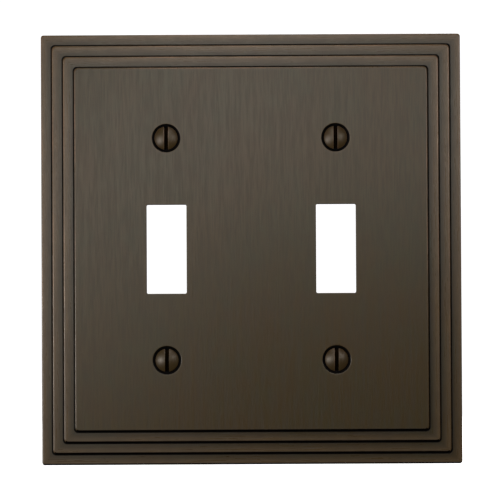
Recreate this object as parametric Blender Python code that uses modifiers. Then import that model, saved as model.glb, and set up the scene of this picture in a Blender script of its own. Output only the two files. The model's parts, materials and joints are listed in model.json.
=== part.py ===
"""Double toggle wall plate cover: a stepped die-cast plate and its four mounting screws.

Units are metres and +Z is up. The wall is the plane y = 0, and the decorated face looks along -Y.
The origin is the centre of the plate on the wall.
"""

import math

import bmesh
import bpy

MM = 0.001

# Plate: four tiers, each set in by one band from the tier behind it
PLATE_WIDTH = 114.3 * MM
PLATE_HEIGHT = 117.1 * MM
BAND_WIDTH = 3.05 * MM
TIER_FRONTS = (3.0 * MM, 4.0 * MM, 5.0 * MM, 6.2 * MM)
FACE_DEPTH = TIER_FRONTS[-1]
TIER_OVERLAP = 0.7 * MM
OUTLINE_CORNER = 0.55 * MM
STEP_CORNER = 0.9 * MM
TIER_EDGE = 0.25 * MM

# Hollow back: a pocket behind each tier, so that the casting has an even wall
RIM_THICKNESS = 2.0 * MM
POCKET_FLOORS = (1.2 * MM, 2.2 * MM, 3.2 * MM, 4.0 * MM)
POCKET_CORNER = 1.2 * MM
RIB_THICKNESS = 1.6 * MM
RIB_ROOT = POCKET_FLOORS[-1] + TIER_OVERLAP
RIB_BACK = 2.05 * MM
SPINE_LAP = 1.0 * MM
BOSS_RADIUS = 4.9 * MM
BOSS_BACK = 1.8 * MM

# Standard spacing of two toggle switches side by side, and of the screws of each
GANG_SPACING = 46.04 * MM
SCREW_SPACING = 60.325 * MM
TOGGLE_WIDTH = 10.85 * MM
TOGGLE_HEIGHT = 24.2 * MM
TOGGLE_CORNER = 0.4 * MM

# Countersunk screw holes
COUNTERSINK_RADIUS = 3.9 * MM
HOLE_RADIUS = 2.4 * MM
HALF_CONE = math.radians(41.0)

# Oval-head slotted screw, 6-32 thread, half an inch under the edge of its head
HEAD_RADIUS = 3.2 * MM
SEAT_GAP = 0.3 * MM
CROWN_HEIGHT = 0.9 * MM
SHANK_RADIUS = 1.75 * MM
THREAD_ROOT_RADIUS = 1.35 * MM
THREAD_PITCH = 25.4 / 32.0 * MM
THREAD_START = 2.7 * MM
SCREW_LENGTH = 12.7 * MM
TIP_CHAMFER = 0.5 * MM
SLOT_WIDTH = 1.1 * MM
SLOT_FLOOR = 0.45 * MM

CORNER_SEGMENTS = 4
EDGE_SEGMENTS = 2
CROWN_SEGMENTS = 5
BOSS_SEGMENTS = 32
HOLE_SEGMENTS = 32
SCREW_SEGMENTS = 24
MERGE_DISTANCE = 0.01 * MM
CUT_CLEARANCE = 1.0 * MM
SMOOTH_ANGLE = math.radians(35.0)

BRONZE = (0.062, 0.048, 0.037, 1.0)
SCREW_BRONZE = (0.050, 0.039, 0.031, 1.0)

# Depth of the head's edge under the face, where its cone lies one gap inside the countersink's
SEAT_DEPTH = (COUNTERSINK_RADIUS - SEAT_GAP / math.cos(HALF_CONE) - HEAD_RADIUS) / math.tan(HALF_CONE)


def clear_scene():
    """Remove whatever objects the file starts with."""
    for item in list(bpy.data.objects):
        bpy.data.objects.remove(item, do_unlink=True)


def make_collection(name):
    """Add a collection to the scene."""
    collection = bpy.data.collections.new(name)
    bpy.context.scene.collection.children.link(collection)
    return collection


def make_material(name, color, roughness, metallic):
    """Make a material with a plain Principled shader."""
    material = bpy.data.materials.new(name)
    material.use_nodes = True
    shader = material.node_tree.nodes["Principled BSDF"]
    shader.inputs["Base Color"].default_value = color
    shader.inputs["Roughness"].default_value = roughness
    shader.inputs["Metallic"].default_value = metallic
    return material


def add_object(name, bm, collection):
    """Turn a bmesh into an object of the collection."""
    mesh = bpy.data.meshes.new(name)
    bm.to_mesh(mesh)
    bm.free()
    item = bpy.data.objects.new(name, mesh)
    collection.objects.link(item)
    return item


def as_cutter(item):
    """Show a Boolean operand as a wire that doesn't render."""
    item.hide_render = True
    item.display_type = "WIRE"
    return item


def boolean(target, operand, operation):
    """Union the operand with the target, or cut it away."""
    modifier = target.modifiers.new(operand.name, "BOOLEAN")
    modifier.object = operand
    modifier.operation = operation
    modifier.solver = "EXACT"


def block(name, collection, width, height, back, front, corner=0.0, edge=0.0, center=(0.0, 0.0)):
    """Box between two depths from the wall, with rounded corners and an eased front edge.

    The depths are distances in front of the wall, so a negative one lies behind it.
    """
    bm = bmesh.new()
    bmesh.ops.create_cube(bm, size=1.0)
    bmesh.ops.scale(bm, vec=(width, front - back, height), verts=bm.verts)
    middle = (center[0], -(front + back) / 2.0, center[1])
    bmesh.ops.translate(bm, vec=middle, verts=bm.verts)
    if corner:
        depth_edges = [e for e in bm.edges if abs(e.verts[0].co.y - e.verts[1].co.y) > MERGE_DISTANCE]
        bmesh.ops.bevel(
            bm, geom=depth_edges, offset=corner, segments=CORNER_SEGMENTS, profile=0.5, affect="EDGES"
        )
    if edge:
        front_edges = [e for e in bm.edges if all(v.co.y < -front + MERGE_DISTANCE for v in e.verts)]
        bmesh.ops.bevel(
            bm, geom=front_edges, offset=edge, segments=EDGE_SEGMENTS, profile=0.5, affect="EDGES"
        )
    return add_object(name, bm, collection)


def turned(name, collection, profile, segments):
    """Turn a profile of (radius, height) points, listed from the top down, about the local Z axis."""
    mesh = bpy.data.meshes.new(name)
    points = [(radius, 0.0, height) for radius, height in profile]
    links = [(i, i + 1) for i in range(len(points) - 1)]
    mesh.from_pydata(points, links, [])
    item = bpy.data.objects.new(name, mesh)
    collection.objects.link(item)
    screw = item.modifiers.new("turn", "SCREW")
    screw.steps = segments
    screw.render_steps = segments
    screw.use_merge_vertices = True
    screw.merge_threshold = MERGE_DISTANCE
    return item


def place_at_hole(item, hole, sunk=0.0):
    """Stand a turned shape in a screw hole, its local Z out of the face and its zero sunk under the face."""
    item.location = (hole[0], sunk - FACE_DEPTH, hole[1])
    item.rotation_euler = (math.radians(90.0), 0.0, 0.0)


def screw_holes():
    """The four screw holes as a name and a place (x, z)."""
    across = GANG_SPACING / 2.0
    up = SCREW_SPACING / 2.0
    return {
        "top_left": (-across, up),
        "top_right": (across, up),
        "bottom_left": (-across, -up),
        "bottom_right": (across, -up),
    }


def tiers(target, cutters):
    """Build the steps: each tier is a block set in by one band from the one behind it."""
    for number, front in enumerate(TIER_FRONTS[1:], start=1):
        inset = number * BAND_WIDTH
        tier = block(
            f"tier_{number}", cutters, PLATE_WIDTH - 2 * inset, PLATE_HEIGHT - 2 * inset,
            TIER_FRONTS[number - 1] - TIER_OVERLAP, front, STEP_CORNER, TIER_EDGE,
        )
        boolean(target, as_cutter(tier), "UNION")


def pocket_half_height(number):
    """How far up and down a pocket reaches from the centre."""
    return PLATE_HEIGHT / 2.0 - RIM_THICKNESS - number * BAND_WIDTH


def pockets(target, cutters):
    """Hollow the back out behind each tier."""
    for number, floor in enumerate(POCKET_FLOORS):
        inset = RIM_THICKNESS + number * BAND_WIDTH
        pocket = block(
            f"pocket_{number}", cutters, PLATE_WIDTH - 2 * inset, 2 * pocket_half_height(number),
            -CUT_CLEARANCE, floor, POCKET_CORNER,
        )
        boolean(target, as_cutter(pocket), "DIFFERENCE")


def stepped_rib(target, cutters, name, x, start, end, back):
    """Upright rib that follows the pocket floors as they step towards the rim.

    It runs from start, a height on its own side of the centre, into the rim on the side of end.
    """
    for number, floor in enumerate(POCKET_FLOORS):
        if floor > back:
            reach = end * (pocket_half_height(number) + TIER_OVERLAP)
            stage = block(
                f"{name}_{number}", cutters, RIB_THICKNESS, abs(reach - start), back, floor + TIER_OVERLAP,
                center=(x, (reach + start) / 2.0),
            )
            boolean(target, as_cutter(stage), "UNION")


def ribs_and_bosses(target, cutters):
    """Add the spine that reaches the wall, the screw bosses, and the ribs that tie them in."""
    stepped_rib(target, cutters, "spine_up", 0.0, -SPINE_LAP, 1.0, 0.0)
    stepped_rib(target, cutters, "spine_down", 0.0, SPINE_LAP, -1.0, 0.0)
    for name, (x, z) in screw_holes().items():
        bm = bmesh.new()
        bmesh.ops.create_cone(
            bm, cap_ends=True, segments=BOSS_SEGMENTS, radius1=BOSS_RADIUS, radius2=BOSS_RADIUS,
            depth=RIB_ROOT - BOSS_BACK,
        )
        boss = add_object(f"boss_{name}", bm, cutters)
        boss.location = (x, -(RIB_ROOT + BOSS_BACK) / 2.0, z)
        boss.rotation_euler = (math.radians(90.0), 0.0, 0.0)
        boolean(target, as_cutter(boss), "UNION")
        stepped_rib(target, cutters, f"upright_{name}", x, z, math.copysign(1.0, z), RIB_BACK)
        crossbar = block(
            f"crossbar_{name}", cutters, abs(x), RIB_THICKNESS, RIB_BACK, RIB_ROOT, center=(x / 2.0, z)
        )
        boolean(target, as_cutter(crossbar), "UNION")


def countersinks(target, cutters):
    """Cut each screw hole as one turned shape: a cone from the face, then a straight hole."""
    cone_depth = (COUNTERSINK_RADIUS - HOLE_RADIUS) / math.tan(HALF_CONE)
    mouth_radius = COUNTERSINK_RADIUS + CUT_CLEARANCE * math.tan(HALF_CONE)
    profile = (
        (0.0, CUT_CLEARANCE),
        (mouth_radius, CUT_CLEARANCE),
        (HOLE_RADIUS, -cone_depth),
        (HOLE_RADIUS, -FACE_DEPTH - CUT_CLEARANCE),
        (0.0, -FACE_DEPTH - CUT_CLEARANCE),
    )
    for name, hole in screw_holes().items():
        cutter = as_cutter(turned(f"hole_{name}", cutters, profile, HOLE_SEGMENTS))
        place_at_hole(cutter, hole)
        boolean(target, cutter, "DIFFERENCE")


def toggle_openings(target, cutters):
    """Cut the two windows that the switch levers stand out of."""
    for name, side in (("left", -1.0), ("right", 1.0)):
        window = block(
            f"toggle_{name}", cutters, TOGGLE_WIDTH, TOGGLE_HEIGHT, -CUT_CLEARANCE,
            FACE_DEPTH + CUT_CLEARANCE, TOGGLE_CORNER, center=(side * GANG_SPACING / 2.0, 0.0),
        )
        boolean(target, as_cutter(window), "DIFFERENCE")


def cover_plate(parts, cutters):
    """The one-piece casting."""
    plate = block(
        "cover_plate", parts, PLATE_WIDTH, PLATE_HEIGHT, 0.0, TIER_FRONTS[0], OUTLINE_CORNER, TIER_EDGE
    )
    tiers(plate, cutters)
    pockets(plate, cutters)
    ribs_and_bosses(plate, cutters)
    countersinks(plate, cutters)
    toggle_openings(plate, cutters)
    return plate


def screw_profile():
    """Half section of the screw, from the top of its crown to its tip."""
    dome_radius = (HEAD_RADIUS**2 + CROWN_HEIGHT**2) / (2.0 * CROWN_HEIGHT)
    dome_angle = math.asin(HEAD_RADIUS / dome_radius)
    crown = []
    for step in range(CROWN_SEGMENTS + 1):
        angle = dome_angle * step / CROWN_SEGMENTS
        radius = dome_radius * math.sin(angle)
        crown.append((radius, dome_radius * (math.cos(angle) - 1.0) + CROWN_HEIGHT))
    cone_depth = (HEAD_RADIUS - SHANK_RADIUS) / math.tan(HALF_CONE)

    thread = []
    turns = int((SCREW_LENGTH - TIP_CHAMFER - THREAD_START) / THREAD_PITCH)
    for turn in range(turns):
        crest = THREAD_START + turn * THREAD_PITCH
        thread.append((SHANK_RADIUS, -crest))
        thread.append((THREAD_ROOT_RADIUS, -crest - THREAD_PITCH / 2.0))
    last_crest = THREAD_START + turns * THREAD_PITCH
    tip = [
        (SHANK_RADIUS, -last_crest),
        (THREAD_ROOT_RADIUS, -SCREW_LENGTH),
        (0.0, -SCREW_LENGTH),
    ]
    return crown + [(SHANK_RADIUS, -cone_depth)] + thread + tip


def mounting_screws(parts, cutters, material):
    """One screw for each hole, seated with a running gap to its countersink."""
    profile = screw_profile()
    head_edge = FACE_DEPTH - SEAT_DEPTH
    for name, hole in screw_holes().items():
        screw = turned(f"screw_{name}", parts, profile, SCREW_SEGMENTS)
        place_at_hole(screw, hole, SEAT_DEPTH)
        screw.data.materials.append(material)
        slot = block(
            f"slot_{name}", cutters, SLOT_WIDTH, 2 * HEAD_RADIUS + 2 * CUT_CLEARANCE,
            head_edge - SLOT_FLOOR, head_edge + CROWN_HEIGHT + CUT_CLEARANCE, center=hole,
        )
        boolean(screw, as_cutter(slot), "DIFFERENCE")


def smooth_rounds():
    """Shade every mesh smooth up to the angle of a real edge."""
    for item in bpy.data.objects:
        item.data.shade_smooth()
        item.data.set_sharp_from_angle(angle=SMOOTH_ANGLE)


def main():
    clear_scene()
    parts = make_collection("wall_plate_cover")
    cutters = make_collection("cutters")
    bronze = make_material("dark_bronze", BRONZE, 0.45, 0.75)
    screw_bronze = make_material("screw_bronze", SCREW_BRONZE, 0.4, 0.8)
    plate = cover_plate(parts, cutters)
    plate.data.materials.append(bronze)
    mounting_screws(parts, cutters, screw_bronze)
    smooth_rounds()


main()
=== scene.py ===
"""Looks of a double toggle wall plate cover: a stepped, brushed, dark bronze casting and its four screws.

The plate stands upright: its face looks along -Y, its back lies on the plane y = 0, and +Z is up.
Lengths in this file are millimetres in the frame's own axes; meshes are scaled to metres as they are made.
"""

import json
import math

import bmesh
import bpy
import numpy as np
from mathutils import Matrix, Vector

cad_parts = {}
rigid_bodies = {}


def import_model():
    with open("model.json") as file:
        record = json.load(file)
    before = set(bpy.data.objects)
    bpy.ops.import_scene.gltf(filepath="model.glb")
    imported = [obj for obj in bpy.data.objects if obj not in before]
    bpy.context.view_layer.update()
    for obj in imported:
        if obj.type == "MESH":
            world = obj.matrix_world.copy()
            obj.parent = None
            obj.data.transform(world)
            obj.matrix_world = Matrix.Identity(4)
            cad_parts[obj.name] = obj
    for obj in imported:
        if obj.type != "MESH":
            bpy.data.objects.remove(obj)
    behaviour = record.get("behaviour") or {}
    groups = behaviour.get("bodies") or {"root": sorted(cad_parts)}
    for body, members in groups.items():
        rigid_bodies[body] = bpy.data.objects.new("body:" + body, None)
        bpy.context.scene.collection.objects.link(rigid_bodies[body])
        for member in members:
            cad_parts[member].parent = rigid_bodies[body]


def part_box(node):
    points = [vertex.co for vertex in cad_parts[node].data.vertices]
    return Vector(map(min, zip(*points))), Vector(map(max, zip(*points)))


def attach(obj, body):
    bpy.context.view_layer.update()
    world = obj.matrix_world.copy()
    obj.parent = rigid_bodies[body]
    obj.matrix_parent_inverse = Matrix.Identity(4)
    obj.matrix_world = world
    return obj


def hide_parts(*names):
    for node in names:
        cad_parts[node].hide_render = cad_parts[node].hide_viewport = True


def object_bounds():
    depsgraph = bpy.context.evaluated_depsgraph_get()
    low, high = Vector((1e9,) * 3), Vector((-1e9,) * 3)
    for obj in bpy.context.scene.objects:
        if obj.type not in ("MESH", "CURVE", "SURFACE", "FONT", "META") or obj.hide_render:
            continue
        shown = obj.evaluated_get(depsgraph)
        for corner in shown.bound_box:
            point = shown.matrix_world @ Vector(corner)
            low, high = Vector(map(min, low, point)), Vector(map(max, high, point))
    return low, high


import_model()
cad_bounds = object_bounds()

MM = 0.001
PI = math.pi

# ---------------------------------------------------------------- driving sizes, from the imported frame
plate_low, plate_high = (np.array(corner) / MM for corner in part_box("cover_plate"))
HALF_WIDTH = (plate_high[0] - plate_low[0]) / 2
HALF_HEIGHT = (plate_high[2] - plate_low[2]) / 2
FACE = -plate_low[1]
screw_low, screw_high = (np.array(corner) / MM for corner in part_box("screw_top_right"))
GANG = (screw_low[0] + screw_high[0]) / 2
SCREW_UP = (screw_low[2] + screw_high[2]) / 2
SIDES = {"top_left": (-1, 1), "top_right": (1, 1), "bottom_left": (-1, -1), "bottom_right": (1, -1)}

# Steps of the face and of the hollow behind it: distance in from the outline, depth in front of the wall
BAND = 3.05
TIERS = (3.0, 4.0, 5.0, FACE)
RIM = 2.0
FLOORS = (1.2, 2.2, 3.2, 4.0)
PANEL_INSET = 12.6
# Each riser is dark from just below its rounded edge to a narrow strip along its foot
EDGE_ROUND = 0.27
DARK_STRIP = 0.41

# Openings
TOGGLE_HALF = (5.425, 12.1)
TOGGLE_CORNER = 0.4
SINK_RADIUS = 3.9
HOLE_RADIUS = 2.4
HALF_CONE = math.radians(41)
BOSS_RADIUS = 4.9
BOSS_BACK = 1.8
RIB_BACK = 2.05
BLOCK_HALF = 7.5
TOGGLE_BLOCK_HALF = 16.5

# Screw: sizes from the edge of its head, which sits just below the face
HEAD_RADIUS = 3.2
CROWN = 0.89
SCREW_LENGTH = 12.7
HEAD_EDGE = SCREW_LENGTH - screw_high[1]
SHANK_RADIUS = 1.75
ROOT_RADIUS = 1.35
PITCH = 25.4 / 32
SLOT_WIDTH = 1.1
SLOT_FLOOR = 0.45

FRONT, BACK, CUT = 0, 1, 2


# ---------------------------------------------------------------- surfaces worked out as whole arrays
def eased(points, steps=4):
    """Round the corners of a polyline of (a, b, radius): each corner becomes a short arc.

    The arc is the quadratic curve from one radius before the corner to one radius after it.
    """
    points = np.array(points, float)
    out = [points[0, :2]]
    for before, corner, after in zip(points[:-2], points[1:-1], points[2:]):
        radius = corner[2]
        if radius == 0:
            out.append(corner[:2])
            continue
        back = before[:2] - corner[:2]
        ahead = after[:2] - corner[:2]
        start = corner[:2] + back / np.linalg.norm(back) * radius
        end = corner[:2] + ahead / np.linalg.norm(ahead) * radius
        t = np.linspace(0, 1, steps + 1)[:, None]
        out.extend((1 - t) ** 2 * start + 2 * t * (1 - t) * corner[:2] + t**2 * end)
    out.append(points[-1, :2])
    return np.array(out)


def grid_quads(rows, columns, closed=False):
    """Corner numbers of the quads between the rows and columns of a grid, wrapping round if closed."""
    r = np.arange(rows - 1)[:, None]
    c = np.arange(columns if closed else columns - 1)[None, :]
    d = (c + 1) % columns
    row, below = r * columns, (r + 1) * columns
    return np.stack([row + c, row + d, below + d, below + c], -1).reshape(-1, 4)


class Skin:
    """Patches of quads gathered into one closed mesh; vertices that meet are welded at the end."""

    def __init__(self):
        self.points, self.quads, self.kinds, self.count = [], [], [], 0

    def add(self, points, quads, kind):
        """Add vertices, their quads, and one finish for all quads or one for each."""
        self.points.append(points.reshape(-1, 3))
        self.quads.append(quads + self.count)
        self.kinds.append(np.broadcast_to(kind, len(quads)))
        self.count += len(self.points[-1])

    def strip(self, loops, kinds):
        """Add closed loops of equal length, joined each to the next; kinds gives each gap's finish."""
        rows, columns = loops.shape[:2]
        self.add(loops, grid_quads(rows, columns, True), np.repeat(kinds, columns))

    def build(self, name):
        """Weld the patches and turn every face outwards."""
        mesh = bpy.data.meshes.new(name)
        points, quads = np.vstack(self.points) * MM, np.vstack(self.quads)
        mesh.from_pydata(points.tolist(), [], quads.tolist())
        mesh.polygons.foreach_set("material_index", np.hstack(self.kinds).astype(np.int32))
        bm = bmesh.new()
        bm.from_mesh(mesh)
        bmesh.ops.remove_doubles(bm, verts=bm.verts, dist=0.004 * MM)
        bmesh.ops.recalc_face_normals(bm, faces=bm.faces)
        bm.to_mesh(mesh)
        bm.free()
        piece = bpy.data.objects.new(name, mesh)
        bpy.context.scene.collection.objects.link(piece)
        return piece


def grid_lines():
    """Places of the panel's grid lines: close together over the openings, wide apart between them."""
    def both_ways(*runs):
        """Even runs of (start, stop, count) from the middle outwards, mirrored to the other side."""
        half = np.hstack([np.linspace(start, stop, count, endpoint=False) for start, stop, count in runs])
        half = np.append(half, runs[-1][1])
        return np.hstack([-half[:0:-1], half])

    near, far = GANG - BLOCK_HALF, GANG + BLOCK_HALF
    low, high = SCREW_UP - BLOCK_HALF, SCREW_UP + BLOCK_HALF
    xs = both_ways((0, near, 5), (near, far, 20), (far, HALF_WIDTH - PANEL_INSET, 6))
    zs = both_ways((0, TOGGLE_BLOCK_HALF, 22), (TOGGLE_BLOCK_HALF, low, 3), (low, high, 20),
                   (high, HALF_HEIGHT - PANEL_INSET, 4))
    return xs, zs


def outline_loops(insets, depths, corners, xs, zs, arc=8):
    """Rounded rectangles set in from the plate's outline, one for each inset, depth and corner radius.

    Along each side a loop has the panel's grid lines, and each corner is a quarter circle.
    """
    inset, depth, corner = (np.asarray(a, float)[:, None] for a in (insets, depths, corners))
    wide, high = HALF_WIDTH - inset, HALF_HEIGHT - inset
    turn = np.linspace(0, PI / 2, arc + 1)[None, :]
    ones_x, ones_z = np.ones_like(xs)[None, :], np.ones_like(zs)[None, :]
    sin, cos = corner * np.sin(turn), corner * np.cos(turn)
    x = np.hstack([xs + 0 * inset, wide - corner + sin, wide * ones_z, wide - corner + cos,
                   xs[::-1] + 0 * inset, corner - wide - sin, -wide * ones_z, corner - wide - cos])
    z = np.hstack([high * ones_x, high - corner + cos, zs[::-1] + 0 * inset, corner - high - sin,
                   -high * ones_x, corner - high - cos, zs + 0 * inset, high - corner + sin])
    return np.stack([x, np.broadcast_to(-depth, x.shape), z], -1)


def block_border(xs, zs, centre, half):
    """The grid's own points round a block that an opening is cut from, as one closed loop (x, z)."""
    across = xs[(xs > centre[0] - half[0] - 1e-6) & (xs < centre[0] + half[0] + 1e-6)]
    up = zs[(zs > centre[1] - half[1] - 1e-6) & (zs < centre[1] + half[1] + 1e-6)]
    left, right, low, high = across[0], across[-1], up[0], up[-1]
    x = np.hstack([across[:-1], np.full(len(up) - 1, right), across[:0:-1], np.full(len(up) - 1, left)])
    z = np.hstack([np.full(len(across) - 1, high), up[:0:-1], np.full(len(across) - 1, low), up[:-1]])
    return np.stack([x, z], -1)


def hole_patch(skin, xs, zs, centre):
    """A countersunk hole and its boss: circles turned through one profile, from the face to the hollow."""
    border = block_border(xs, zs, centre, (BLOCK_HALF, BLOCK_HALF))
    angle = np.arctan2(border[:, 1] - centre[1], border[:, 0] - centre[0])
    cone_end = FACE - (SINK_RADIUS - HOLE_RADIUS) / math.tan(HALF_CONE)
    profile = eased([
        (6.2, FACE, 0), (5.2, FACE, 0), (4.6, FACE, 0), (4.25, FACE, 0), (SINK_RADIUS, FACE, 0.12),
        (HOLE_RADIUS, cone_end, 0.12), (HOLE_RADIUS, BOSS_BACK, 0.2), (BOSS_RADIUS, BOSS_BACK, 0.3),
        (BOSS_RADIUS + 0.12, FLOORS[-1], 0.35), (5.8, FLOORS[-1], 0), (6.2, FLOORS[-1], 0),
    ], 5)
    radius, depth = profile[:, 0, None], profile[:, 1, None]
    x, z = centre[0] + radius * np.cos(angle), centre[1] + radius * np.sin(angle)
    circles = np.stack([x, -depth + 0 * angle, z], -1)
    front = np.stack([border[:, 0], np.full(len(border), -FACE), border[:, 1]], -1)[None]
    back = front.copy()
    back[..., 1] = -FLOORS[-1]
    loops = np.vstack([front, circles, back])
    mid_radius = np.hstack([99, (profile[1:, 0] + profile[:-1, 0]) / 2, 99])
    mid_depth = np.hstack([FACE, (profile[1:, 1] + profile[:-1, 1]) / 2, FLOORS[-1]])
    kinds = np.where(mid_depth > FACE - 0.03, FRONT, CUT)
    boss_side = (mid_radius > HOLE_RADIUS + 0.4) & (mid_depth < cone_end)
    kinds = np.where((mid_depth < BOSS_BACK + 0.25) | boss_side, BACK, kinds)
    skin.strip(loops, kinds)


def toggle_patch(skin, xs, zs, centre):
    """A window for a switch lever: rounded rectangles carried through the wall from face to hollow."""
    border = block_border(xs, zs, centre, (BLOCK_HALF, TOGGLE_BLOCK_HALF))
    u = (border[:, 0] - centre[0]) / BLOCK_HALF
    v = (border[:, 1] - centre[1]) / TOGGLE_BLOCK_HALF
    keep_u, keep_v = 1 - 3 / 10, 1 - 3 / 22
    spread_u = np.clip((np.abs(u) - keep_u) / (1 - keep_u), 0, 1)
    spread_v = np.clip((np.abs(v) - keep_v) / (1 - keep_v), 0, 1)
    on_side = np.abs(np.abs(u) - 1) < 1e-6
    turn = np.where(on_side, spread_v * PI / 4, PI / 2 - spread_u * PI / 4)
    along_x = np.sign(u) * np.clip(np.abs(u) / np.where(on_side, 1, keep_u), 0, 1)
    along_z = np.sign(v) * np.clip(np.abs(v) / np.where(on_side, keep_v, 1), 0, 1)
    profile = eased([
        (1.3, FACE, 0), (0.8, FACE, 0), (0.45, FACE, 0), (0.2, FACE, 0), (0, FACE, 0.1),
        (-0.03, FLOORS[-1], 0.15), (0.5, FLOORS[-1], 0), (1.3, FLOORS[-1], 0),
    ], 5)
    grow, depth = profile[:, 0, None], profile[:, 1, None]
    corner = TOGGLE_CORNER + grow
    x = centre[0] + along_x * (TOGGLE_HALF[0] - TOGGLE_CORNER) + np.sign(u) * corner * np.cos(turn)
    z = centre[1] + along_z * (TOGGLE_HALF[1] - TOGGLE_CORNER) + np.sign(v) * corner * np.sin(turn)
    windows = np.stack([x, -depth + 0 * x, z], -1)
    front = np.stack([border[:, 0], np.full(len(border), -FACE), border[:, 1]], -1)[None]
    back = front.copy()
    back[..., 1] = -FLOORS[-1]
    mid_depth = np.hstack([FACE, (profile[1:, 1] + profile[:-1, 1]) / 2, FLOORS[-1]])
    kinds = np.where(mid_depth > FACE - 0.03, FRONT, np.where(mid_depth < FLOORS[-1] + 0.03, BACK, CUT))
    skin.strip(np.vstack([front, windows, back]), kinds)


def stepped_profile():
    """The casting's section from the panel's border, down the steps, round the rim and into the hollow.

    Returns inset, depth, corner radius and the finish of each gap between two points.
    """
    line = [(PANEL_INSET, FACE, 0), (11.6, FACE, 0), (10.7, FACE, 0), (10.1, FACE, 0), (9.7, FACE, 0)]
    for number in (3, 2, 1):
        edge, top, foot = number * BAND, TIERS[number], TIERS[number - 1]
        line += [(edge, top, 0.28), (edge - 0.13, foot, 0.13), (edge - 0.4, foot, 0), (edge - 0.8, foot, 0)]
        outer = edge - BAND
        line += [(outer + 1.7, foot, 0), (outer + 1.1, foot, 0), (outer + 0.6, foot, 0)]
    line += [(0, TIERS[0], 0.32), (0, 1.5, 0), (0, 0, 0.15), (RIM, 0, 0.15)]
    for number, floor in enumerate(FLOORS):
        inset = RIM + number * BAND
        if number:
            line += [(inset, FLOORS[number - 1], 0.2)]
        line += [(inset + 0.06, floor, 0.25)]
    line += [(PANEL_INSET, FLOORS[-1], 0)]
    profile = eased(line)
    inset, depth = profile[:, 0], profile[:, 1]
    past_rim = np.arange(len(inset)) >= np.argmax(depth <= 1e-9)
    front_corner = np.interp(inset, (0.35, 2.7, 9.6, PANEL_INSET), (0.75, 1.1, 1.15, 0))
    back_corner = np.interp(inset, (0.2, RIM, 11.2, PANEL_INSET), (0.75, 1.2, 1.2, 0))
    kinds = np.where(past_rim[:-1], BACK, FRONT)
    middle, height = (inset[1:] + inset[:-1]) / 2, (depth[1:] + depth[:-1]) / 2
    for number in (1, 2, 3):
        below_edge = height < TIERS[number] - EDGE_ROUND
        at_foot = (middle < number * BAND + 0.01) & (middle > number * BAND - DARK_STRIP)
        kinds = np.where(below_edge & at_foot & (kinds == FRONT), CUT, kinds)
    return inset, depth, np.where(past_rim, back_corner, front_corner), kinds


def bar(name, stations, half, back, across):
    """Rib with drafted sides and eased back edges, carried along stations of (place, root depth).

    across turns a section offset and a place along the rib into (x, z).
    """
    one_side = np.array([half - 0.25, half - 0.08, half, half + 0.1])
    offset = np.hstack([-one_side[::-1], one_side])
    share = np.array([1, 0.12, 0.03, 0, 0, 0.03, 0.12, 1])
    place, root = np.array(stations, float).T
    depth = back + share[None, :] * (root[:, None] - back)
    x, z = across(offset[None, :] + 0 * depth, place[:, None] + 0 * depth)
    rows, columns = depth.shape
    mesh = bpy.data.meshes.new(name)
    faces = grid_quads(rows, columns, True).tolist()
    faces += [list(range(columns)), list(range(rows * columns - 1, (rows - 1) * columns - 1, -1))]
    mesh.from_pydata((np.stack([x, -depth, z], -1).reshape(-1, 3) * MM).tolist(), [], faces)
    mesh.polygons.foreach_set("material_index", np.full(len(faces), BACK, np.int32))
    bm = bmesh.new()
    bm.from_mesh(mesh)
    bmesh.ops.recalc_face_normals(bm, faces=bm.faces)
    bm.to_mesh(mesh)
    bm.free()
    return bpy.data.objects.new(name, mesh)


def rib_stations(start, back):
    """Stations of an upright rib from start to the rim, its root just inside each step of the hollow."""
    stations = [(start, FLOORS[-1] + 0.6)]
    for number in (3, 2, 1, 0):
        end = HALF_HEIGHT - RIM - number * BAND + 0.6
        floor = FLOORS[number]
        if floor > back:
            if len(stations) > 1:
                stations.append((stations[-1][0] + 0.05, floor + 0.6))
            stations.append((end, floor + 0.6))
    return stations


def ribs():
    """The spine that reaches the wall, and the ribs that tie the screw bosses to it and to the rim."""
    half = [(place, root) for place, root in rib_stations(0.0, 0.0)][1:]
    spine = [(-place, root) for place, root in half[::-1]] + half
    out = [bar("spine", spine, 0.8, 0.0, lambda offset, place: (offset, place))]
    for name, (side, end) in SIDES.items():
        stations = rib_stations(SCREW_UP + 3.4, RIB_BACK)
        out.append(bar(f"upright_{name}", stations, 0.8, RIB_BACK,
                       lambda offset, place, s=side, e=end: (s * GANG + offset, e * place)))
        stations = [(0.3, FLOORS[-1] + 0.6), (GANG - 3.4, FLOORS[-1] + 0.6)]
        out.append(bar(f"crossbar_{name}", stations, 0.8, RIB_BACK,
                       lambda offset, place, s=side, e=end: (s * place, e * SCREW_UP + offset)))
    return out


def apply_modifiers(piece):
    """Give a piece the mesh that its modifiers make, and drop them."""
    graph = bpy.context.evaluated_depsgraph_get()
    mesh = bpy.data.meshes.new_from_object(piece.evaluated_get(graph))
    piece.modifiers.clear()
    piece.data = mesh
    return piece


def vertex_points(mesh):
    """The mesh's vertices as an array in millimetres."""
    points = np.zeros(len(mesh.vertices) * 3, np.float32)
    mesh.vertices.foreach_get("co", points)
    return points.reshape(-1, 3).astype(float) / MM


def set_attribute(mesh, name, values):
    """Store one number for each vertex."""
    layer = mesh.attributes.new(name, "FLOAT", "POINT")
    layer.data.foreach_set("value", values.astype(np.float32))


def rounded_inset(points, wide, high, corner):
    """Distance inwards from a rounded rectangle in the XZ plane, negative outside it."""
    qx = np.abs(points[:, 0]) - wide + corner
    qz = np.abs(points[:, 2]) - high + corner
    outside = np.hypot(np.maximum(qx, 0), np.maximum(qz, 0))
    return corner - outside - np.minimum(np.maximum(qx, qz), 0)


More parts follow.
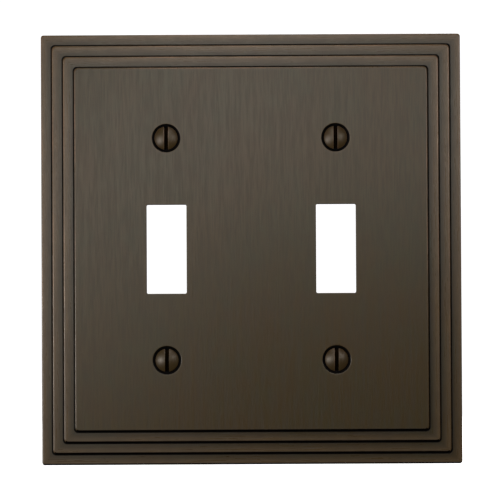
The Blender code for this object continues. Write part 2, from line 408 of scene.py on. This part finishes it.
def mark_edges(mesh):
    """Store how far each vertex is from the nearest worn edge and from the nearest inside corner.

    Both are millimetres over the face, worked out from the outlines of the steps and openings.
    """
    points = vertex_points(mesh)
    depth = -points[:, 1]
    edge = np.full(len(points), 9.0)
    nook = np.full(len(points), 9.0)
    for number, front in enumerate(TIERS):
        inset = number * BAND
        corner = 0.75 if number == 0 else 1.12
        inwards = rounded_inset(points, HALF_WIDTH - inset, HALF_HEIGHT - inset, corner)
        own = (depth > front - 0.5) & (depth < front + 0.05) & (inwards > -0.05)
        edge = np.where(own, np.minimum(edge, np.abs(inwards) + (front - depth)), edge)
        if number:
            below = (depth < front - 0.35) & (inwards < 0.05) & (depth > TIERS[number - 1] - 0.05)
            nook = np.where(below, np.minimum(nook, np.abs(inwards + 0.13)), nook)
    for side in (-1, 1):
        moved = points - np.array([side * GANG, 0, 0])
        window = -rounded_inset(moved, *TOGGLE_HALF, TOGGLE_CORNER)
        edge = np.where(depth > FACE - 0.3, np.minimum(edge, np.abs(window) + (FACE - depth) + 0.3), edge)
        for end in (-1, 1):
            ring = np.hypot(points[:, 0] - side * GANG, points[:, 2] - end * SCREW_UP) - SINK_RADIUS
            edge = np.where(depth > FACE - 0.3, np.minimum(edge, np.abs(ring) + (FACE - depth) + 0.3), edge)
    set_attribute(mesh, "edge_distance", edge)
    set_attribute(mesh, "nook_distance", nook)


def smooth(mesh, degrees=32):
    """Shade smooth up to the angle of a real edge."""
    mesh.shade_smooth()
    mesh.set_sharp_from_angle(angle=math.radians(degrees))


def make_plate(materials):
    """The casting: the panel inside the stepped border, its openings, the hollow and its ribs.

    materials holds its front, back and cut finishes. Both sides of the union carry them, so that each
    face keeps its own.
    """
    xs, zs = grid_lines()
    skin = Skin()
    inset, depth, corner, kinds = stepped_profile()
    skin.strip(outline_loops(inset, depth, corner, xs, zs), kinds)
    x, z = np.meshgrid(xs, zs, indexing="ij")
    quads = grid_quads(len(xs), len(zs))
    middle_x = x.reshape(-1)[quads].mean(1)
    middle_z = z.reshape(-1)[quads].mean(1)
    over_gang = np.abs(np.abs(middle_x) - GANG) < BLOCK_HALF
    over_hole = over_gang & (np.abs(np.abs(middle_z) - SCREW_UP) < BLOCK_HALF)
    over_toggle = over_gang & (np.abs(middle_z) < TOGGLE_BLOCK_HALF)
    solid = quads[~(over_hole | over_toggle)]
    for depth, kind in ((FACE, FRONT), (FLOORS[-1], BACK)):
        skin.add(np.stack([x, np.full(x.shape, -depth), z], -1), solid, kind)
    for side in (-1, 1):
        toggle_patch(skin, xs, zs, (side * GANG, 0.0))
        for end in (-1, 1):
            hole_patch(skin, xs, zs, (side * GANG, end * SCREW_UP))
    plate = skin.build("casting")
    holder = bpy.data.collections.new("ribs")
    for rib in ribs():
        holder.objects.link(rib)
    for piece in (plate, *holder.objects):
        for material in materials:
            piece.data.materials.append(material)
    bpy.context.scene.collection.children.link(holder)
    union = plate.modifiers.new("ribs", "BOOLEAN")
    union.operation = "UNION"
    union.solver = "EXACT"
    union.material_mode = "INDEX"
    union.operand_type = "COLLECTION"
    union.collection = holder
    apply_modifiers(plate)
    for rib in list(holder.objects):
        bpy.data.objects.remove(rib)
    bpy.data.collections.remove(holder)
    mark_edges(plate.data)
    smooth(plate.data)
    return plate


# ---------------------------------------------------------------- screws
def screw_surface():
    """Radius of the screw over turn angle and height, height zero at the edge of the head.

    The head is a low dome on a cone. Below it the radius swings between root and crest once a pitch,
    and the swing is shifted by one pitch a turn, which makes the helix.
    """
    dome = (HEAD_RADIUS**2 + CROWN**2) / (2 * CROWN)
    spread = np.linspace(0, math.asin(HEAD_RADIUS / dome), 15)
    head = [(dome * math.sin(a), dome * (math.cos(a) - 1) + CROWN, 0) for a in spread[:-1]]
    neck = -(HEAD_RADIUS - SHANK_RADIUS) / math.tan(HALF_CONE)
    head += [(HEAD_RADIUS - 0.02, 0.0, 0.08), (SHANK_RADIUS, neck, 0.15), (SHANK_RADIUS, neck - 0.3, 0)]
    head = eased(head)
    angle = np.linspace(0, 2 * PI, 48, endpoint=False)[None, :]
    height = np.arange(neck - 0.36, -SCREW_LENGTH, -PITCH / 10)[:, None]
    phase = (height / PITCH - angle / (2 * PI)) % 1.0
    ridge = np.clip(1.25 - np.abs(phase - 0.5) * 2 * 1.35, 0.0, 1.0)
    start = np.clip((neck - 0.3 - height) / (1.2 * PITCH), 0, 1)
    end = np.clip((height + SCREW_LENGTH) / 0.9, 0, 1)
    swing = (SHANK_RADIUS - ROOT_RADIUS) * ridge
    radius = SHANK_RADIUS * (1 - start) + (ROOT_RADIUS + swing) * start
    radius = np.minimum(radius, ROOT_RADIUS - 0.1 + (SHANK_RADIUS - ROOT_RADIUS + 0.1) * end)
    top = np.repeat(head[:, 0, None], angle.shape[1], 1)
    radius = np.vstack([top, radius, radius[-1:] * 0 + ROOT_RADIUS - 0.1, np.zeros((1, angle.shape[1]))])
    height = np.vstack([head[:, 1, None], height, [[-SCREW_LENGTH]], [[-SCREW_LENGTH]]]) + 0 * angle
    return radius, height, angle


def make_screw_mesh():
    """One screw about the Y axis at the origin, head towards -Y, with its slot cut."""
    radius, height, angle = screw_surface()
    skin = Skin()
    loops = np.stack([radius * np.cos(angle), -height, radius * np.sin(angle)], -1)
    skin.strip(loops, np.zeros(len(loops) - 1, int))
    screw = skin.build("screw")
    x, y, z = np.meshgrid([-1, 1], [-CROWN - 1, SLOT_FLOOR], [-1, 1], indexing="ij")
    box = np.stack([x * SLOT_WIDTH / 2, y, z * (HEAD_RADIUS + 1)], -1).reshape(-1, 3) * MM
    mesh = bpy.data.meshes.new("slot")
    bm = bmesh.new()
    for point in box:
        bm.verts.new(point)
    bmesh.ops.convex_hull(bm, input=bm.verts)
    bmesh.ops.recalc_face_normals(bm, faces=bm.faces)
    bm.to_mesh(mesh)
    bm.free()
    slot = bpy.data.objects.new("slot", mesh)
    bpy.context.scene.collection.objects.link(slot)
    cut = screw.modifiers.new("slot", "BOOLEAN")
    cut.operation = "DIFFERENCE"
    cut.solver = "EXACT"
    cut.object = slot
    ease = screw.modifiers.new("ease", "BEVEL")
    ease.width = 0.07 * MM
    ease.segments = 2
    ease.limit_method = "ANGLE"
    ease.angle_limit = math.radians(50)
    apply_modifiers(screw)
    bpy.data.objects.remove(slot)
    mesh = screw.data
    bpy.data.objects.remove(screw)
    points = vertex_points(mesh)
    reach = np.hypot(points[:, 0], points[:, 2])
    depth = -points[:, 1]
    rim = np.hypot(reach - HEAD_RADIUS, depth)
    slot_edge = np.where(depth > -0.1, np.abs(np.abs(points[:, 0]) - SLOT_WIDTH / 2), 9)
    in_slot = (np.abs(points[:, 0]) < SLOT_WIDTH / 2 - 0.02) & (depth > -SLOT_FLOOR - 0.05)
    set_attribute(mesh, "edge_distance", np.where(in_slot, 9, np.minimum(rim, slot_edge)))
    set_attribute(mesh, "nook_distance", np.where(in_slot | (depth < -0.3), 0, 9.0))
    set_attribute(mesh, "turning", reach)
    smooth(mesh, 40)
    return mesh


def make_screws(material):
    """A copy of the screw in each hole, riding on its own body."""
    master = make_screw_mesh()
    for name, (side, end) in SIDES.items():
        mesh = master.copy()
        mesh.transform(Matrix.Translation(Vector((side * GANG, -HEAD_EDGE, end * SCREW_UP)) * MM))
        mesh.materials.clear()
        mesh.materials.append(material)
        piece = bpy.data.objects.new(f"mounting_screw_{name}", mesh)
        bpy.context.scene.collection.objects.link(piece)
        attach(piece, f"screw_{name}")
        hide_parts(f"screw_{name}")


# ---------------------------------------------------------------- materials
# Colours of the finish, as linear red, green and blue
BROWN = (0.050, 0.0300, 0.0068, 1)
OLIVE = (0.043, 0.0320, 0.0095, 1)
UMBER = (0.050, 0.0260, 0.0055, 1)
WARM = (0.125, 0.0770, 0.036, 1)
COPPER = (0.26, 0.145, 0.085, 1)
OXIDE = (0.0030, 0.0018, 0.0014, 1)
SOOT = (0.0016, 0.0012, 0.0010, 1)
WORN_OXIDE = (0.012, 0.009, 0.006, 1)
BACK_DARK = (0.030, 0.023, 0.016, 1)
BACK_LIGHT = (0.055, 0.043, 0.031, 1)
ROUGHNESS = 0.31
WEAR = 0.7
PATINA_WIDTH = 0.26


class Wiring:
    """A node tree as it is wired: each step adds one node, and a value may be another node's output."""

    def __init__(self, tree):
        self.tree = tree

    def node(self, kind, inputs, **settings):
        """Add a node with its settings, and give each named or numbered input its value or link."""
        node = self.tree.nodes.new(kind)
        for key, value in settings.items():
            setattr(node, key, value)
        for key, value in inputs.items():
            self.feed(node.inputs[key], value)
        return node

    def feed(self, socket, value):
        """Link an output to the socket, or set the socket to a value."""
        if isinstance(value, bpy.types.NodeSocket):
            self.tree.links.new(value, socket)
        else:
            socket.default_value = value

    def math(self, operation, *values):
        """One sum, product or comparison."""
        return self.node("ShaderNodeMath", dict(enumerate(values)), operation=operation).outputs[0]

    def step(self, value, start, stop, low=0.0, high=1.0):
        """A smooth step from low, where the value is start, to high, where it is stop."""
        inputs = {"Value": value, "From Min": start, "From Max": stop, "To Min": low, "To Max": high}
        return self.node("ShaderNodeMapRange", inputs, interpolation_type="SMOOTHSTEP").outputs[0]

    def noise(self, point, scale, detail=2.0):
        """Soft random values around 0.5, with scale in waves per millimetre along x, y and z."""
        stretched = self.node("ShaderNodeVectorMath", {0: point, 1: scale}, operation="MULTIPLY").outputs[0]
        inputs = {"Vector": stretched, "Scale": 1.0, "Detail": detail}
        return self.node("ShaderNodeTexNoise", inputs).outputs[0]

    def mix(self, factor, first, second):
        """A colour between two others."""
        return self.node("ShaderNodeMix", {0: factor, 6: first, 7: second}, data_type="RGBA").outputs[2]

    def shade(self, color, amount):
        """A colour made darker or lighter by a number around 1."""
        return self.node("ShaderNodeMix", {0: 1.0, 6: color, 7: amount}, data_type="RGBA",
                         blend_type="MULTIPLY").outputs[2]

    def attribute(self, name):
        """A number stored on the mesh."""
        return self.node("ShaderNodeAttribute", {}, attribute_name=name).outputs["Fac"]

    def millimetres(self):
        """The place on the object in millimetres."""
        place = self.node("ShaderNodeTexCoord", {}).outputs["Object"]
        return self.node("ShaderNodeMapping", {"Vector": place, "Scale": (1000, 1000, 1000)}).outputs[0]


def make_group(name, inputs, outputs):
    """An empty node group with its sockets. Returns the group, its wiring, its inputs and its outputs."""
    group = bpy.data.node_groups.new(name, "ShaderNodeTree")
    for socket, default in inputs.items():
        kind = "NodeSocketVector" if default is None else "NodeSocketFloat"
        made = group.interface.new_socket(name=socket, in_out="INPUT", socket_type=kind)
        if default is not None:
            made.default_value = default
    for socket in outputs:
        group.interface.new_socket(name=socket, in_out="OUTPUT", socket_type="NodeSocketFloat")
    wiring = Wiring(group)
    return group, wiring, wiring.node("NodeGroupInput", {}).outputs, wiring.node("NodeGroupOutput", {}).inputs


def edge_wear_group():
    """Where handling has rubbed a convex edge: strongest on the edge, in patches along it."""
    inputs = {"Point": None, "Distance": 9.0, "Width": 0.4, "Amount": 1.0}
    group, w, given, out = make_group("edge_wear", inputs, ["Wear"])
    patches = w.step(w.noise(given["Point"], (0.07, 0.07, 0.07), 3.0), 0.42, 0.66, 0.12, 1.0)
    nicks = w.step(w.noise(given["Point"], (1.4, 1.4, 1.4), 2.0), 0.3, 0.6, 0.45, 1.0)
    near = w.step(given["Distance"], given["Width"], 0.0)
    rubbed = w.math("MULTIPLY", w.math("MULTIPLY", patches, nicks), w.math("MULTIPLY", near, given["Amount"]))
    w.feed(out["Wear"], w.math("MINIMUM", rubbed, 1.0))
    return group


def recess_patina_group():
    """Dark oxide left in an inside corner, its border a little uneven."""
    inputs = {"Point": None, "Distance": 9.0, "Width": 0.3}
    group, w, given, out = make_group("recess_patina", inputs, ["Patina"])
    uneven = w.step(w.noise(given["Point"], (0.8, 0.8, 0.8)), 0.3, 0.7, -0.06, 0.06)
    w.feed(out["Patina"], w.step(w.math("ADD", given["Distance"], uneven), given["Width"], 0.05))
    return group


def mottling_group():
    """Cloudy variation of an oxide finish: broad clouds, and smaller blotches inside them."""
    group, w, given, out = make_group("mottling", {"Point": None}, ["Clouds", "Blotches"])
    w.feed(out["Clouds"], w.step(w.noise(given["Point"], (0.075, 0.075, 0.05), 3.0), 0.3, 0.7))
    w.feed(out["Blotches"], w.step(w.noise(given["Point"], (0.33, 0.33, 0.24), 2.0), 0.3, 0.7))
    return group


def brushed_grain_group():
    """Strokes of an abrasive belt: long thin streaks upright, or across where Across is 1."""
    group, w, given, out = make_group("brushed_grain", {"Point": None, "Across": 0.0}, ["Height", "Tone"])
    layers = []
    for wide, long, detail in ((2.6, 0.16, 3.0), (0.9, 0.045, 2.0)):
        upright = w.noise(given["Point"], (wide, 0.3, long), detail)
        across = w.noise(given["Point"], (long, 0.3, wide), detail)
        choice = {0: given["Across"], 2: upright, 3: across}
        layers.append(w.node("ShaderNodeMix", choice, data_type="FLOAT").outputs[0])
    fine, coarse = layers
    both = w.math("ADD", w.math("MULTIPLY", fine, 0.65), w.math("MULTIPLY", coarse, 0.35))
    w.feed(out["Height"], both)
    w.feed(out["Tone"], w.step(both, 0.32, 0.68))
    return group


def cast_skin_group():
    """The skin of a die casting: fine pebbling over soft flow marks."""
    group, w, given, out = make_group("cast_skin", {"Point": None}, ["Height", "Tone"])
    pebbles = w.noise(given["Point"], (2.4, 2.4, 2.4), 4.0)
    flow = w.noise(given["Point"], (0.1, 0.1, 0.22), 3.0)
    w.feed(out["Height"], w.math("ADD", w.math("MULTIPLY", pebbles, 0.6), w.math("MULTIPLY", flow, 0.4)))
    w.feed(out["Tone"], w.step(flow, 0.35, 0.65))
    return group


def start_finish(name, metallic):
    """A new material. Returns it, its wiring, its shader's inputs and the place on the object."""
    material = bpy.data.materials.new(name)
    material.use_nodes = True
    shader = material.node_tree.nodes["Principled BSDF"].inputs
    shader["Metallic"].default_value = metallic
    wiring = Wiring(material.node_tree)
    return material, wiring, shader, wiring.millimetres()


def use_group(w, group, **values):
    """Place a node group in a material with its own values, and return its outputs."""
    node = w.node("ShaderNodeGroup", {}, node_tree=group)
    for socket, value in values.items():
        w.feed(node.inputs[socket], value)
    return node.outputs


def brushed_bronze(groups):
    """Oil-rubbed bronze: brushed, cloudy brown, rubbed warm on its edges and black in the steps, with painted
    light: edges lighter towards the top, and painted shade on the edges near the bottom.
    """
    material, w, shader, point = start_finish("brushed_bronze", 0.08)
    edge = w.attribute("edge_distance")
    x, _, z = w.node("ShaderNodeSeparateXYZ", {0: point}).outputs
    past_x = w.math("SUBTRACT", w.math("ABSOLUTE", x), HALF_WIDTH - 3 * BAND)
    past_z = w.math("SUBTRACT", w.math("ABSOLUTE", z), HALF_HEIGHT - 3 * BAND)
    on_band = w.math("GREATER_THAN", w.math("MAXIMUM", past_x, past_z), 0.0)
    across = w.math("MULTIPLY", on_band, w.math("GREATER_THAN", past_z, past_x))
    grain = use_group(w, groups["brushed_grain"], Point=point, Across=across)
    clouds = use_group(w, groups["mottling"], Point=point)
    wear = use_group(w, groups["edge_wear"], Point=point, Distance=edge, Width=0.55, Amount=WEAR)["Wear"]
    # The copper here is partly real rubbed wear and partly painted highlight: it fades to 0.15 towards the
    # bottom, so the top edges are lighter, as if lit from above.
    wear = w.math("MULTIPLY", wear, w.step(z, -45.0, 20.0, 0.15, 1.0))
    patina = use_group(w, groups["recess_patina"], Point=point, Distance=w.attribute("nook_distance"),
                       Width=PATINA_WIDTH)["Patina"]
    # Painted shade: near the bottom, edges within 0.6 mm on the bottom band and round the lower openings turn
    # black. This stands in for the shadows the steps cast downwards. From here patina carries this painted
    # shade as well as the real oxide.
    under = w.math("MULTIPLY", w.math("GREATER_THAN", past_z, past_x), w.step(z, -30.0, -46.0))
    patina = w.math("MAXIMUM", patina, w.math("MULTIPLY", under, w.step(edge, 0.6, 0.25)))
    color = w.mix(clouds["Clouds"], BROWN, OLIVE)
    color = w.mix(w.math("MULTIPLY", clouds["Blotches"], 0.4), color, UMBER)
    band_polish = w.step(edge, 2.9, -0.6)
    panel_polish = w.step(edge, 1.0, 0.0, 0.0, 0.14)
    choice = {0: on_band, 2: panel_polish, 3: band_polish}
    polish = w.node("ShaderNodeMix", choice, data_type="FLOAT").outputs[0]
    polish = w.math("MULTIPLY", polish, w.step(clouds["Blotches"], 0.0, 1.0, 1.0, 0.8))
    # Painted light: the warm polish drops to 0.8 towards the bottom, so the top of the plate reads lighter,
    # as if lit from above.
    polish = w.math("MULTIPLY", polish, w.step(z, -50.0, 0.0, 0.8, 1.0))
    color = w.shade(color, w.math("SUBTRACT", 1.0, w.math("MULTIPLY", on_band, 0.27)))
    color = w.mix(polish, color, WARM)
    color = w.shade(color, w.step(grain["Tone"], 0.0, 1.0, 0.88, 1.12))
    color = w.mix(wear, color, COPPER)
    w.feed(shader["Base Color"], w.mix(patina, color, OXIDE))
    w.feed(shader["Metallic"], w.math("MAXIMUM", w.step(wear, 0.0, 1.0, 0.08, 0.5), patina))
    rough = w.step(grain["Tone"], 0.0, 1.0, ROUGHNESS + 0.035, ROUGHNESS - 0.035)
    rough = w.math("SUBTRACT", rough, w.math("MULTIPLY", polish, 0.03))
    w.feed(shader["Roughness"], w.math("ADD", rough, w.math("MULTIPLY", patina, 0.5)))
    bump = w.node("ShaderNodeBump", {"Strength": 0.8, "Distance": 0.00003, "Height": grain["Height"]})
    w.feed(shader["Normal"], bump.outputs[0])
    return material


def cast_bronze(groups):
    """The hollow back: cast skin under thin dark lacquer, rubbed where it lies on the wall."""
    material, w, shader, point = start_finish("cast_bronze", 0.3)
    skin = use_group(w, groups["cast_skin"], Point=point)
    clouds = use_group(w, groups["mottling"], Point=point)
    _, y, _ = w.node("ShaderNodeSeparateXYZ", {0: point}).outputs
    wear = use_group(w, groups["edge_wear"], Point=point, Distance=w.math("ABSOLUTE", y), Width=0.12,
                     Amount=0.9)["Wear"]
    color = w.mix(skin["Tone"], BACK_DARK, BACK_LIGHT)
    color = w.mix(w.math("MULTIPLY", clouds["Blotches"], 0.4), color, UMBER)
    w.feed(shader["Base Color"], w.mix(wear, color, COPPER))
    w.feed(shader["Roughness"], w.step(skin["Height"], 0.3, 0.7, 0.62, 0.48))
    bump = w.node("ShaderNodeBump", {"Strength": 0.55, "Distance": 0.00008, "Height": skin["Height"]})
    w.feed(shader["Normal"], bump.outputs[0])
    return material


def dark_patina(groups):
    """The risers and the walls of the openings and countersinks: unbrushed, matt black with oxide."""
    material, w, shader, point = start_finish("dark_patina", 0.0)
    shader["Specular IOR Level"].default_value = 0.12
    skin = use_group(w, groups["cast_skin"], Point=point)
    wear = use_group(w, groups["edge_wear"], Point=point, Distance=w.attribute("edge_distance"), Width=0.16,
                     Amount=0.25)["Wear"]
    color = w.mix(skin["Tone"], SOOT, OXIDE)
    w.feed(shader["Base Color"], w.mix(wear, color, WORN_OXIDE))
    w.feed(shader["Roughness"], w.step(skin["Height"], 0.3, 0.7, 0.8, 0.66))
    bump = w.node("ShaderNodeBump", {"Strength": 0.3, "Distance": 0.00004, "Height": skin["Height"]})
    w.feed(shader["Normal"], bump.outputs[0])
    return material


def screw_bronze(groups):
    """Satin dark bronze screws: turned rings on the head, rubbed slot edges, dark thread and slot."""
    material, w, shader, point = start_finish("screw_bronze", 0.2)
    clouds = use_group(w, groups["mottling"], Point=point)
    wear = use_group(w, groups["edge_wear"], Point=point, Distance=w.attribute("edge_distance"), Width=0.22,
                     Amount=0.6)["Wear"]
    patina = use_group(w, groups["recess_patina"], Point=point, Distance=w.attribute("nook_distance"),
                       Width=0.6)["Patina"]
    from_axis = w.node("ShaderNodeCombineXYZ", {0: w.attribute("turning")}).outputs[0]
    turned = w.noise(from_axis, (5.0, 1.0, 1.0), 2.0)
    color = w.mix(clouds["Blotches"], BROWN, UMBER)
    color = w.shade(color, w.step(turned, 0.3, 0.7, 0.85, 1.15))
    color = w.mix(wear, color, COPPER)
    w.feed(shader["Base Color"], w.mix(w.math("MULTIPLY", patina, 0.9), color, OXIDE))
    w.feed(shader["Metallic"], w.math("MAXIMUM", patina, 0.2))
    rough = w.step(turned, 0.3, 0.7, 0.42, 0.36)
    w.feed(shader["Roughness"], w.math("ADD", rough, w.math("MULTIPLY", patina, 0.3)))
    bump = w.node("ShaderNodeBump", {"Strength": 0.3, "Distance": 0.00003, "Height": turned})
    w.feed(shader["Normal"], bump.outputs[0])
    return material


# ---------------------------------------------------------------- stage
# Soft lights: place and width in millimetres, power in watts
LIGHTS = {
    "upper_left": ((-40, -320, 60), 100, 0.0528),
    "upper_right": ((40, -320, 60), 100, 0.0442),
    "left": ((-80, -320, 0), 100, 0.0345),
    "far_left": ((-450, -700, 0), 260, 1.35),
    "low_left": ((-190, -230, -34), 44, 0.180),
    "right": ((150, -250, 60), 100, 0.134),
    "above": ((0, -150, 130), 100, 0.067),
    "behind": ((260, 620, 420), 500, 5.0),
}
SKY = 0.06
PALE = 1.1


def plain(name, color):
    """The floor's material: pale, and bright enough in itself to hide shadows."""
    material = bpy.data.materials.new(name)
    material.use_nodes = True
    shader = material.node_tree.nodes["Principled BSDF"].inputs
    shader["Base Color"].default_value = color
    shader["Roughness"].default_value = 0.9
    shader["Emission Color"].default_value = (1, 1, 1, 1)
    shader["Emission Strength"].default_value = PALE
    material.cycles.emission_sampling = "NONE"
    return material


def make_stage():
    """A pale floor under the plate, a pale surround and soft lights."""
    bottom = cad_bounds[0].z
    reach = 4.0
    corners = [(x * reach, y * reach, bottom) for x, y in ((-1, -1), (1, -1), (1, 1), (-1, 1))]
    mesh = bpy.data.meshes.new("floor")
    mesh.from_pydata(corners, [], [(0, 1, 2, 3)])
    mesh.materials.append(plain("pale_floor", (0.95, 0.95, 0.95, 1)))
    floor = bpy.data.objects.new("floor", mesh)
    bpy.context.scene.collection.objects.link(floor)
    floor.visible_glossy = False
    floor.visible_diffuse = False
    world = bpy.data.worlds.new("studio")
    world.use_nodes = True
    w = Wiring(world.node_tree)
    seen = w.node("ShaderNodeLightPath", {}).outputs["Is Camera Ray"]
    pale = w.node("ShaderNodeBackground", {"Color": (1, 1, 1, 1), "Strength": PALE}).outputs[0]
    dim = w.node("ShaderNodeBackground", {"Color": (1, 1, 1, 1), "Strength": SKY}).outputs[0]
    both = w.node("ShaderNodeMixShader", {0: seen, 1: dim, 2: pale}).outputs[0]
    w.feed(world.node_tree.nodes["World Output"].inputs["Surface"], both)
    bpy.context.scene.world = world
    bpy.context.scene.view_settings.view_transform = "Standard"
    for name, (place, width, power) in LIGHTS.items():
        data = bpy.data.lights.new(name, "AREA")
        data.shape = "DISK"
        data.size = width * MM
        data.energy = power
        light = bpy.data.objects.new(name, data)
        light.location = Vector(place) * MM
        light.visible_camera = False
        light.rotation_euler = (-light.location).to_track_quat("-Z", "Y").to_euler()
        bpy.context.scene.collection.objects.link(light)


# ---------------------------------------------------------------- camera
CAMERA_DISTANCE = 1100.0
CAMERA_SIDE = -0.52
CAMERA_DROP = -30.71
CAMERA_TILT = math.radians(1.59)
CAMERA_ROLL = math.radians(0.286)
LENS_PIXELS = 4031.1


def make_camera():
    """A long lens a little below the middle of the plate, looking slightly up at it."""
    data = bpy.data.cameras.new("camera")
    data.sensor_width = 36.0
    data.lens = LENS_PIXELS * data.sensor_width / 500
    data.clip_start = 0.05
    camera = bpy.data.objects.new("camera", data)
    camera.location = Vector((CAMERA_SIDE, -CAMERA_DISTANCE, CAMERA_DROP)) * MM
    tilt = Matrix.Rotation(PI / 2 + CAMERA_TILT, 4, "X")
    roll = Matrix.Rotation(CAMERA_ROLL, 4, "Y")
    camera.rotation_euler = (roll @ tilt).to_euler()
    bpy.context.scene.collection.objects.link(camera)
    bpy.context.scene.camera = camera


groups = {group.name: group for group in (edge_wear_group(), recess_patina_group(), mottling_group(),
                                          brushed_grain_group(), cast_skin_group())}
plate = make_plate([finish(groups) for finish in (brushed_bronze, cast_bronze, dark_patina)])
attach(plate, "plate")
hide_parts("cover_plate")
make_screws(screw_bronze(groups))
make_stage()
make_camera()
